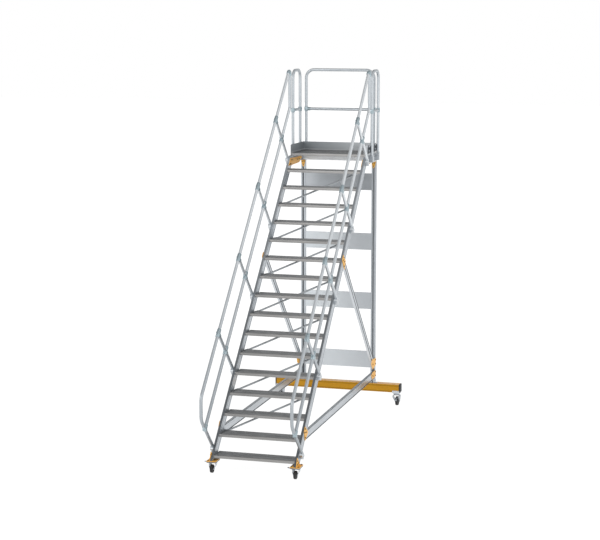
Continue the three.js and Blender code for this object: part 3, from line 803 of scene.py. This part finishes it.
def beam():
    """The yellow cross beam with two grooves in its front and back, and its dark end caps."""
    body_end = BEAM_HALF - BEAM_CAP
    middle = (BEAM_BOTTOM + BEAM_TOP) / 2
    grooves = [(-0.040, 0.006, 0.0025), (0.036, 0.005, 0.0025)]
    outline, marks = grooved_outline(BEAM_DEPTH, BEAM_TOP - BEAM_BOTTOM, side=grooves, faces=(0, 0, 2, 0))

    def place(a, b, t):
        return at(t, REAR_POST_Y + a, middle + b)
    body = Shape().plate(outline, place, -body_end, body_end, marks)
    # painted light and shade: the top face takes a paler yellow as highlight and the grooves a darker yellow
    # as shade
    piece("traverse_beam_profile", body, [YELLOW, YELLOW_GROOVE_PAINTED_SHADE, YELLOW_TOP_PAINTED_HIGHLIGHT], bevel=0.004,
          replaces="traverse_beam")
    half_depth, half_height = BEAM_DEPTH / 2, (BEAM_TOP - BEAM_BOTTOM) / 2
    end = rectangle(-half_depth, half_depth, -half_height, half_height, 0.012)
    for name, side in SIDES:
        shape = Shape().plate(end, place, *span(side, body_end, BEAM_HALF - 0.0015))
        inset = [(0.8 * a, 0.8 * b) for a, b in end]
        shape.plate(inset, place, *span(side, body_end, BEAM_HALF))
        piece(f"beam_end_cap_{name}", shape, [CAP], bevel=0.0012)


def post_feet(name, side):
    """Zinc angles that bolt a rear post down to the beam."""
    shape = Shape()
    low, wall = BEAM_TOP + GAP, 0.004
    ys = (REAR_POST_Y - 0.028, REAR_POST_Y + 0.028)
    for face, direction in ((STILE_OUT, 1), (STILE_OUT - REAR_POST, -1)):
        stand = sorted((face + direction * GAP, face + direction * (GAP + wall)))
        base = sorted((face + direction * GAP, face + direction * 0.034))
        shape.box(span(side, *stand), ys, (low, ANGLE_TOP), corner=0.001)
        shape.box(span(side, *base), (ys[0] + STEP, ys[1] - STEP), (low, low + wall), corner=0.001)
        upright = at(side * (face + direction * (GAP + wall)), REAR_POST_Y, 0.348)
        shape.bolt(upright, X * side * direction, 0.0075, 1)
        shape.bolt(at(side * (face + direction * 0.022), REAR_POST_Y, low + wall), Z, 0.0075, 1)
    piece(f"post_foot_{name}", shape, [ZINC, BOLT], bevel=0.001)


# ---------------------------------------------------------------- orange plates
def orange_plate(name, outline, xs, bolts, side):
    """A flat plate in a plane of constant x, with bolts at (y, z) on its outward face."""
    shape = Shape().plate_x(rounded(outline, 0.008), *xs)
    face, axis = (xs[1], X) if side > 0 else (xs[0], -X)
    for y, z in bolts:
        shape.bolt(at(face, y, z), axis, 0.0075, 1)
    piece(name, shape, [ORANGE, DARK_BOLT], bevel=0.0012)


def orange_plates(name, side):
    """Platform brackets inside the stringers, joint plates outside them, and a gusset at each post.
    Outlines and bolts are in stair Y and Z."""
    platform_plate = [(3.175, 3.378), (3.194, 3.373), (3.692, 3.382), (3.727, 3.409), (3.837, 3.436),
                      (3.772, 3.467), (3.504, 3.467), (3.257, 3.473)]
    platform_bolts = [(3.215, 3.392), (3.262, 3.396), (3.286, 3.448), (3.334, 3.450), (3.60, 3.430),
                      (3.68, 3.430)]
    inner = span(side, STILE_IN - GAP - PLATE, STILE_IN - GAP)
    outer = span(side, STILE_OUT + GAP, STILE_OUT + GAP + PLATE)
    strut_outline = [(0.289, 0.497), (0.335, 0.552), (0.462, 0.452), (0.335, 0.372)]
    strut_bolts = [(0.334, 0.520), (0.314, 0.480), (0.370, 0.470), (0.342, 0.412)]
    brace_outline = [(2.125, 2.358), (2.245, 2.262), (2.185, 2.150), (2.070, 2.300)]
    brace_bolts = [(2.140, 2.322), (2.122, 2.290), (2.174, 2.262), (2.166, 2.206)]
    post_low = [(3.712, 0.440), (3.765, 0.390), (3.954, 0.396), (3.954, 0.484), (3.790, 0.490),
                (3.708, 0.468)]
    post_high = [(3.703, 0.600), (3.778, 0.530), (3.954, 0.560), (3.954, 0.658), (3.745, 0.676),
                 (3.700, 0.640)]
    for kind, outline, xs, bolts, facing in (
        ("platform_bracket", platform_plate, inner, platform_bolts, -side),
        ("strut_plate", strut_outline, outer, strut_bolts, side),
        ("brace_plate", brace_outline, outer, brace_bolts, side),
        ("post_plate_lower", post_low, outer, [(3.770, 0.440), (3.934, 0.466), (3.934, 0.414)], side),
        ("post_plate_upper", post_high, outer, [(3.775, 0.600), (3.934, 0.636), (3.934, 0.580)], side),
    ):
        orange_plate(f"{kind}_{name}", outline, xs, bolts, facing)

    gusset = Shape()
    front = REAR_FACE - GAP
    corners = ((0.466, 3.3975), (0.532, 3.3975), (0.512, 3.322), (0.490, 3.301))
    outline = rounded([(side * x, z) for x, z in corners], 0.005)
    gusset.plate_y(outline, front - PLATE, front)
    for x, z in ((0.486, 3.376), (0.514, 3.376), (0.498, 3.334)):
        gusset.bolt(at(side * x, front - PLATE, z), -Y, 0.0055, 1)
    piece(f"post_gusset_{name}", gusset, [ORANGE, DARK_BOLT], bevel=0.0012)


# ---------------------------------------------------------------- caster seats
def caster_head(shape, caster, x):
    """Top plate and raceway of a caster, with its four bolts."""
    y, top = caster["y"], caster["top"]
    low = caster["crown"] + CROWN_THICKNESS + 0.0005
    shape.box((x - 0.052, x + 0.052), (y - 0.043, y + 0.043), (top - PLATE, top - GAP), corner=0.010)
    radius = caster["crown_r"] - 0.003
    height = top - PLATE - low
    profile = [(radius - 0.003, 0), (radius, 0.0015), (radius, height * 0.45), (radius - 0.002, height * 0.5),
               (radius, height * 0.6), (radius * 0.9, height + 0.001)]
    shape.revolve(at(x, y, low), Z, profile)
    for dx in (-0.040, 0.040):
        for dy in (-0.031, 0.031):
            shape.bolt(at(x + dx, y + dy, top - PLATE), -Z, 0.006, 1)


def foot_bracket(name, side):
    """The orange foot plate with its gusset, thin dark walls under its edges that paint the shade there, and
    the caster's head under it.
    """
    x = side * FRONT_CASTER["x"]
    front, rear = FOOT_TOP - RISE - 0.002, stile_rear_y(FOOT_TOP) + 0.002
    plate = Shape()
    plate.box((x - FOOT_HALF, x + FOOT_HALF), (front, rear), (FRONT_CASTER["top"], FOOT_TOP), corner=0.012)
    inner, outer = STILE_OUT + GAP, STILE_OUT + GAP + 0.006
    base = FOOT_TOP - 0.002
    gusset = rounded([(front + 0.006, base), (rear - 0.006, base), (0.0, FOOT_TOP + 0.105)], 0.006)
    plate.plate_x(gusset, *span(side, inner, outer))
    # painted shade: thin dark walls under the plate's edges stand in for the shade there
    shade_skirt, wall, corner = 0.128, 0.004, 0.010
    for edge in (STEP - FOOT_HALF, FOOT_HALF - STEP - wall):
        plate.box((x + edge, x + edge + wall), (front + corner, rear - corner), (shade_skirt, base), 2, 0.001)
    for edge in (front + STEP, rear - STEP - wall):
        xs = (x - FOOT_HALF + corner, x + FOOT_HALF - corner)
        plate.box(xs, (edge, edge + wall), (shade_skirt, base), 2, 0.001)
    for y, z in ((0.002, 0.216), (0.046, 0.182), (-0.010, 0.178)):
        plate.bolt(at(side * outer, y, z), X * side, 0.0075, 1)
    for dx in (-0.042, 0.042):
        for y in (front + 0.020, rear - 0.020):
            plate.bolt(at(x + dx, y, FOOT_TOP), Z, 0.0075, 1)
    piece(f"foot_plate_{name}", plate, [ORANGE, DARK_BOLT, DARK_STEEL_AND_PAINTED_SHADE], bevel=0.0015,
          replaces=f"foot_bracket_{name}")
    head = Shape()
    caster_head(head, FRONT_CASTER, x)
    piece(f"caster_head_front_{name}", head, [ZINC, BOLT], bevel=0.0012)


def beam_saddle(name, side):
    """A folded cradle under the beam with bolts in its front and back lips, and the caster's head."""
    x = side * REAR_CASTER["x"]
    wall = 0.004
    reach = BEAM_DEPTH / 2 + GAP
    floor, lip = BEAM_BOTTOM - GAP, BEAM_BOTTOM + 0.026
    top = REAR_CASTER["top"]
    inside = reach + wall - STEP
    half = SADDLE_HALF - STEP
    cradle = Shape().box((x - half, x + half), (REAR_POST_Y - inside, REAR_POST_Y + inside),
                         (top + STEP, floor), corner=0.002)
    outline = rectangle(x - SADDLE_HALF, x + SADDLE_HALF, top, lip, 0.006)
    for direction in (-1, 1):
        ys = sorted((REAR_POST_Y + direction * reach, REAR_POST_Y + direction * (reach + wall)))
        cradle.plate_y(outline, *ys)
        for dx in (-0.032, 0.032):
            face = at(x + dx, REAR_POST_Y + direction * (reach + wall), lip - 0.012)
            cradle.bolt(face, Y * direction, 0.006, 1)
    caster_head(cradle, REAR_CASTER, x)
    piece(f"beam_saddle_folded_{name}", cradle, [ZINC, BOLT], bevel=0.0012,
          replaces=f"beam_saddle_{name}")


# ---------------------------------------------------------------- casters
def fork(row, name, caster, x):
    """Pressed fork: a dished crown whose flanks flare down into two flanged legs, and the axle bolt."""
    y, crown, crown_r, wheel_r = caster["y"], caster["crown"], caster["crown_r"], caster["wheel_r"]
    axle_y = y + caster["trail"]
    lead = -math.copysign(1, caster["trail"])
    shape = Shape()
    shape.revolve(at(x, y, crown), Z, [
        (crown_r - 0.004, 0), (crown_r - 0.001, 0.001), (crown_r, 0.004), (crown_r - 0.002, 0.008),
        (crown_r - 0.008, CROWN_THICKNESS),
    ])
    flare, spread = caster["flare"], caster["spread"]
    flange = 0.018
    clear = caster["wheel_w"] / 2 + 0.004
    shoulder = flare * 0.80
    tip = 0.015
    levels = [  # height, leading edge, trailing edge, outer face
        (wheel_r - tip, axle_y + lead * 0.006, axle_y - lead * 0.006, spread),
        (wheel_r - tip * 0.75, axle_y + lead * 0.011, axle_y - lead * 0.011, spread),
        (wheel_r - tip * 0.2, axle_y + lead * tip, axle_y - lead * tip, spread),
        (wheel_r + 0.010, axle_y + lead * 0.024, axle_y - lead * tip, spread * 0.6 + flare * 0.4),
        (crown - 0.040, y + lead * shoulder * 0.84, axle_y - lead * 0.012, flare - 0.003),
        (crown - 0.022, y + lead * shoulder * 0.96, axle_y - lead * 0.006, flare),
        (crown - 0.006, y + lead * shoulder, y - lead * shoulder * 1.02, flare),
        (crown + 0.003, y + lead * shoulder * 0.7, y - lead * shoulder * 0.7, crown_r - 0.003),
    ]
    for side in (-1, 1):
        rings, rims = [], []
        for z, ahead, behind, face in levels:
            low, high = sorted((ahead, behind))
            left, right = span(side, face - FORK_WALL, face)
            rings.append([at(a, b, z) for a, b in rectangle(x + left, x + right, low, high)])
            left, right = span(side, face - min(flange, face - clear), face - STEP)
            near, far = sorted((ahead - lead * STEP, ahead - lead * FORK_WALL))
            rims.append([at(a, b, z) for a, b in rectangle(x + left, x + right, near, far)])
        shape.loft(rings)
        shape.loft(rims[3:-1])
    tip_x = spread + 0.004
    shape.rod(at(x - tip_x, axle_y, wheel_r), at(x + tip_x, axle_y, wheel_r), AXLE_R - GAP, 1, 20)
    for side in (-1, 1):
        shape.bolt(at(x + side * spread, axle_y, wheel_r), X * side, 0.0085, 1)
    zinc = ZINC if row == "front" else FORK_ZINC
    piece(f"fork_pressed_{row}_{name}", shape, [zinc, BOLT], f"caster_{row}_{name}",
          bevel=0.0012, replaces=f"caster_fork_{row}_{name}")


def wheel(row, name, caster, x):
    """A rounded tyre on a dished rim with its hub and thread guards."""
    radius, half = caster["wheel_r"], caster["wheel_w"] / 2
    centre = at(x, caster["y"] + caster["trail"], radius)
    rim = radius * 0.66
    crown = 0.006
    arc = [(radius - crown + crown * math.cos(a), half - crown + crown * math.sin(a))
           for a in (math.radians(15 * k) for k in range(7))]
    profile = [(rim, half - 0.001), (rim + 0.002, half)] + arc[::-1]
    shape = Shape().revolve(centre, X, [(r, -t) for r, t in profile] + profile[::-1], 0, 64)
    face = half - 0.003
    hub = caster["hub_r"]
    for side in (-1, 1):
        dish = [(rim + 0.001, 0), (rim + 0.001, face), (rim - 0.003, face + 0.001),
                (rim - 0.007, face - 0.004), (hub + 0.004, face - 0.004), (hub + 0.002, half + 0.001),
                (hub, half + 0.002)]
        shape.revolve(centre, X * side, dish, 1, 48)
    piece(f"wheel_moulded_{row}_{name}", shape, [TYRE, RIM], f"wheel_{row}_{name}",
          replaces=f"caster_wheel_{row}_{name}")


def pedal(row, name, caster, x, facing, hinge, z, half, barrel, reach, drop):
    """A foot lever on its hinge, facing a way in the xy plane. half and barrel are the half widths of
    the lever and the hinge. reach and drop give the lever's tip."""
    sideways = Z.cross(facing)
    pivot = at(x, caster["y"], z) + facing * hinge
    wall = 0.002
    bend = reach * 0.75
    line = [(0.0, 0.0), (bend * 0.5, -drop * 0.35), (bend, -drop), (reach - 0.008, -drop + 0.003),
            (reach, -drop + 0.006)]
    shape = Shape()
    widths = [0.7, 0.85, 1.0, 1.0, 0.8]
    rings = []
    for (out, rise), share in zip(line, widths):
        middle = pivot + facing * out + Z * rise
        reach_x = sideways * half * share
        rings.append([middle - reach_x - Z * wall, middle + reach_x - Z * wall,
                      middle + reach_x + Z * wall, middle - reach_x + Z * wall])
    shape.loft(rings)
    shape.rod(pivot - sideways * barrel, pivot + sideways * barrel, 0.004, 1, 20)
    piece(f"pedal_pressed_{row}_{name}", shape, [ZINC, BOLT], f"pedal_{row}_{name}",
          bevel=0.0012, replaces=f"brake_pedal_{row}_{name}")


# ---------------------------------------------------------------- assembly
for side_name, sign in SIDES:
    stringer(side_name, sign)
    handrail(side_name, sign)
    guard(side_name, [at(sign * RAIL_X, y, 0) for y in SIDE_GUARD_Y], X, X * sign)
    guard_feet(side_name, sign)
    rear_post(side_name, sign)
    rear_support(side_name, sign)
    post_feet(side_name, sign)
    orange_plates(side_name, sign)
    foot_bracket(side_name, sign)
    beam_saddle(side_name, sign)
    for row_name, unit in (("front", FRONT_CASTER), ("rear", REAR_CASTER)):
        fork(row_name, side_name, unit, sign * unit["x"])
        wheel(row_name, side_name, unit, sign * unit["x"])
    pedal("front", side_name, FRONT_CASTER, sign * FRONT_CASTER["x"], -X,
          hinge=0.0423, z=0.122, half=0.017, barrel=0.017, reach=0.064, drop=0.004)
    pedal("rear", side_name, REAR_CASTER, sign * REAR_CASTER["x"], -Y,
          hinge=0.024, z=0.118, half=0.019, barrel=0.0205, reach=0.060, drop=0.030)
guard("back", [at(x, BACK_GUARD_Y, 0) for x in (-BACK_GUARD_X, BACK_GUARD_X)], Y, Y)
for index in range(1, TREADS + 1):
    tread(index)
for index in range(1, RODS + 1):
    cross_rod(index)
platform()
beam()

CARRIED = {"toe_boards": TOE, "bracing_panel_1": TOP_PANEL_PAINTED_SHADE}
CARRIED.update({f"bracing_panel_{index}": PANEL for index in range(2, PANELS + 1)})
for node_name, node_material in CARRIED.items():
    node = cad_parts[node_name]
    node.data.materials.clear()
    node.data.materials.append(node_material)
    round_edges(node, 0.0008)


# ---------------------------------------------------------------- floor, light and camera
def floor():
    """A white floor that glows almost evenly, so that only the faintest contact shadows show."""
    reach = 80.0
    mesh = bpy.data.meshes.new("floor")
    corners = [(-reach, -reach, 0), (reach, -reach, 0), (reach, reach, 0), (-reach, reach, 0)]
    mesh.from_pydata(corners, [], [(0, 1, 2, 3)])
    obj = bpy.data.objects.new("floor", mesh)
    bpy.context.scene.collection.objects.link(obj)
    finish = Finish("floor_white")
    speckle = finish.remap(finish.noise(3.0), 0.0, 1.0)
    finish.colour(finish.mix(speckle, srgb(120, 120, 120), srgb(126, 126, 126)))
    finish.shader.inputs["Roughness"].default_value = 1.0
    finish.shader.inputs["Specular IOR Level"].default_value = 0.0
    finish.shader.inputs["Emission Color"].default_value = (1.0, 1.0, 1.0, 1.0)
    distance = finish.tree.nodes.new("ShaderNodeVectorMath")
    distance.operation = "LENGTH"
    finish.tree.links.new(finish.position, distance.inputs[0])
    glow = finish.remap(distance.outputs["Value"], 0.93, 1.0, 3.0, 10.0)
    finish.tree.links.new(glow, finish.shader.inputs["Emission Strength"])
    mesh.materials.append(finish.material)


def sky():
    """White to the camera. To the object it is pale all round and dim overhead, darker to the rear
    left, with a soft box above the right side."""
    world = bpy.data.worlds.new("studio")
    bpy.context.scene.world = world
    world.use_nodes = True
    tree = world.node_tree
    background = tree.nodes["Background"]
    background.inputs["Color"].default_value = (1.0, 1.0, 1.0, 1.0)
    direction = tree.nodes.new("ShaderNodeTexCoord").outputs["Generated"]

    def ramp(axis, start, end, low, high):
        """A tone from low to high, as an axis's share in the direction goes from start to end."""
        share = tree.nodes.new("ShaderNodeVectorMath")
        share.operation = "DOT_PRODUCT"
        share.inputs[1].default_value = Vector(axis).normalized()
        tree.links.new(direction, share.inputs[0])
        node = tree.nodes.new("ShaderNodeMapRange")
        tree.links.new(share.outputs["Value"], node.inputs["Value"])
        for socket, number in zip(node.inputs[1:5], (start, end, low, high)):
            socket.default_value = number
        return node.outputs["Result"]

    def combine(operation, first, second):
        node = tree.nodes.new("ShaderNodeMath")
        node.operation = operation
        tree.links.new(first, node.inputs[0])
        tree.links.new(second, node.inputs[1])
        return node.outputs[0]
    height = ramp((0, 0, 1), 0.35, 0.88, 1.0, 0.48)
    side = ramp((0.6, -0.75, 0.25), -1.0, 1.0, 0.58, 1.12)
    soft_box = ramp((0.40, -0.12, 0.91), 0.86, 0.97, 0.0, 1.25)
    straight = tree.nodes.new("ShaderNodeLightPath").outputs["Is Camera Ray"]
    seen = combine("MAXIMUM", combine("MULTIPLY", height, side), soft_box)
    tree.links.new(combine("MAXIMUM", seen, straight), background.inputs["Strength"])


def lights():
    target = Vector((0, 0, 2.2))
    for name, place, size, power in (
        ("key_light", Vector((-6.0, -9.0, 8.0)), 6.0, 300.0),
        ("fill_light", Vector((9.0, -4.0, 5.0)), 6.0, 120.0),
    ):
        light = bpy.data.lights.new(name, "AREA")
        light.size = size
        light.energy = power
        lamp = bpy.data.objects.new(name, light)
        lamp.location = place
        lamp.rotation_euler = (target - place).to_track_quat("-Z", "Y").to_euler()
        bpy.context.scene.collection.objects.link(lamp)


def viewpoint():
    camera = bpy.data.cameras.new("camera")
    camera.sensor_width = 36.0
    camera.lens = 99.85
    camera.clip_end = 200.0
    viewer = bpy.data.objects.new("camera", camera)
    viewer.location = (5.745, -20.025, 5.367)
    viewer.rotation_euler = (math.radians(90 - 8.701), 0.0, math.radians(15.917))
    bpy.context.scene.collection.objects.link(viewer)
    bpy.context.scene.camera = viewer
    bpy.context.scene.view_settings.view_transform = "Standard"


floor()
sky()
lights()
viewpoint()
